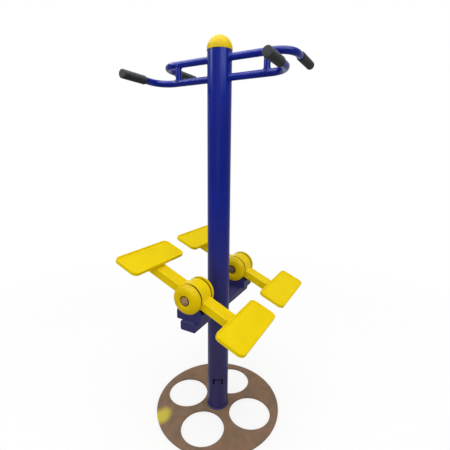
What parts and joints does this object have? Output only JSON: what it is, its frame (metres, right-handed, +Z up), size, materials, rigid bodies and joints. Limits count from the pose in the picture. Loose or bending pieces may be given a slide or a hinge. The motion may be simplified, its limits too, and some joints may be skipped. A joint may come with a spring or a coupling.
{
  "type": "outdoor double stepper",
  "caption": "Outdoor exercise stepper: tilting pedal rockers on a post's cross beam, bent handlebars with rubber grips above them, and a round holed foundation plate below.",
  "frame": {"origin": "middle of the foundation plate's underside, on the floor under the post's axis", "axes": "+Z up along the post; X along the rockers from the left pedals to the right pedals; Y along the pivot shafts, from the front rocker to the rear rocker"},
  "size_m": [0.716, 0.821, 1.9361],
  "materials": {
    "blue_paint": "glossy deep blue powder coat",
    "yellow_paint": "glossy yellow powder coat",
    "yellow_casting": "yellow powder coat on a casting",
    "yellow_plastic": "moulded yellow plastic",
    "primer_brown": "dull brown primer, weathered",
    "bright_steel": "turned steel",
    "bolt_steel": "zinc plate, browned",
    "grip_rubber": "matt black rubber",
    "buffer_rubber": "matt black rubber",
    "plug_plastic": "matt black plastic"
  },
  "bodies": {
    "frame": {"base_plate": "primer_brown", "foot_weld": "blue_paint", "post": "blue_paint", "post_cap": "yellow_plastic", "lower_handlebar": "blue_paint", "upper_handlebar": "blue_paint", "left_strut": "blue_paint", "right_strut": "blue_paint", "lower_left_grip": "grip_rubber", "lower_right_grip": "grip_rubber", "upper_left_grip": "grip_rubber", "upper_right_grip": "grip_rubber", "front_beam": "blue_paint", "front_beam_end": "blue_paint", "front_outer_cheek": "blue_paint", "front_inner_cheek": "blue_paint", "front_stop_plate": "blue_paint", "front_buffers": "buffer_rubber", "front_outer_dust_cap": "yellow_plastic", "front_inner_dust_cap": "yellow_plastic", "front_shaft": "bright_steel", "front_shaft_bolts": "bolt_steel", "front_bearing_inner_rings": "bright_steel", "front_bearing_spacers": "bright_steel", "rear_beam": "blue_paint", "rear_beam_end": "blue_paint", "rear_outer_cheek": "blue_paint", "rear_inner_cheek": "blue_paint", "rear_stop_plate": "blue_paint", "rear_buffers": "buffer_rubber", "rear_outer_dust_cap": "yellow_plastic", "rear_inner_dust_cap": "yellow_plastic", "rear_shaft": "bright_steel", "rear_shaft_bolts": "bolt_steel", "rear_bearing_inner_rings": "bright_steel", "rear_bearing_spacers": "bright_steel"},
    "front_rocker": {"front_drum": "yellow_paint", "front_stop_lug": "yellow_paint", "front_bearing_outer_rings": "bright_steel", "front_snap_rings": "bright_steel", "front_left_arm": "yellow_paint", "front_right_arm": "yellow_paint", "front_left_pedal": "yellow_casting", "front_right_pedal": "yellow_casting", "front_arm_plugs": "plug_plastic", "front_pedal_plates": "yellow_paint", "front_pedal_bolts": "bolt_steel"},
    "rear_rocker": {"rear_drum": "yellow_paint", "rear_stop_lug": "yellow_paint", "rear_bearing_outer_rings": "bright_steel", "rear_snap_rings": "bright_steel", "rear_left_arm": "yellow_paint", "rear_right_arm": "yellow_paint", "rear_left_pedal": "yellow_casting", "rear_right_pedal": "yellow_casting", "rear_arm_plugs": "plug_plastic", "rear_pedal_plates": "yellow_paint", "rear_pedal_bolts": "bolt_steel"}
  },
  "joints": [
    {"name": "front_rocker_pivot", "type": "hinge", "parent": "frame", "child": "front_rocker", "pos_m": [0, -0.228, 0.773], "axis": [0, -1, 0], "range_deg": [0, 46]},
    {"name": "rear_rocker_pivot", "type": "hinge", "parent": "frame", "child": "rear_rocker", "pos_m": [0, 0.228, 0.773], "axis": [0, -1, 0], "range_deg": [0, 46]}
  ]
}
